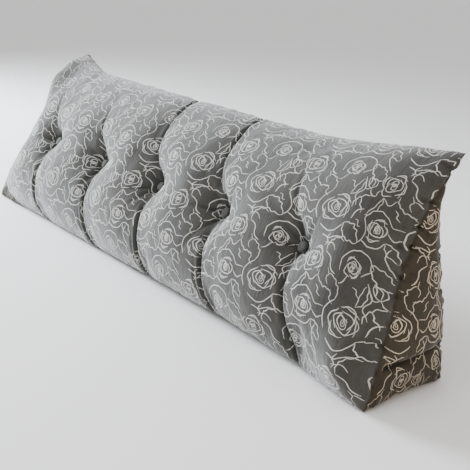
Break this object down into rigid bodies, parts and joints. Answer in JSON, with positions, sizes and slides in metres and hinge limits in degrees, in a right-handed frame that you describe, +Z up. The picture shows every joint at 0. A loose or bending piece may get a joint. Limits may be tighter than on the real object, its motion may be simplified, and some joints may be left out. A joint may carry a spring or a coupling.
{
  "type": "wedge backrest pillow",
  "caption": "Long wedge-shaped backrest pillow with an upright back, a sloping button-tufted front and triangular ends.",
  "frame": {"origin": "bottom centre of the whole pillow's box, on the surface that it stands on", "axes": "+X along the pillow, -Y out of the sloping tufted front, +Y out of the upright back, +Z up"},
  "size_m": [1.5322, 0.302, 0.456],
  "materials": {
    "velvet": "grey printed velvet with a soft sheen",
    "covered_button": "the same grey velvet pulled over a button"
  },
  "bodies": {
    "root": {"cushion": "velvet", "button_1": "covered_button", "button_2": "covered_button", "button_3": "covered_button", "button_4": "covered_button", "button_5": "covered_button"}
  },
  "joints": []
}
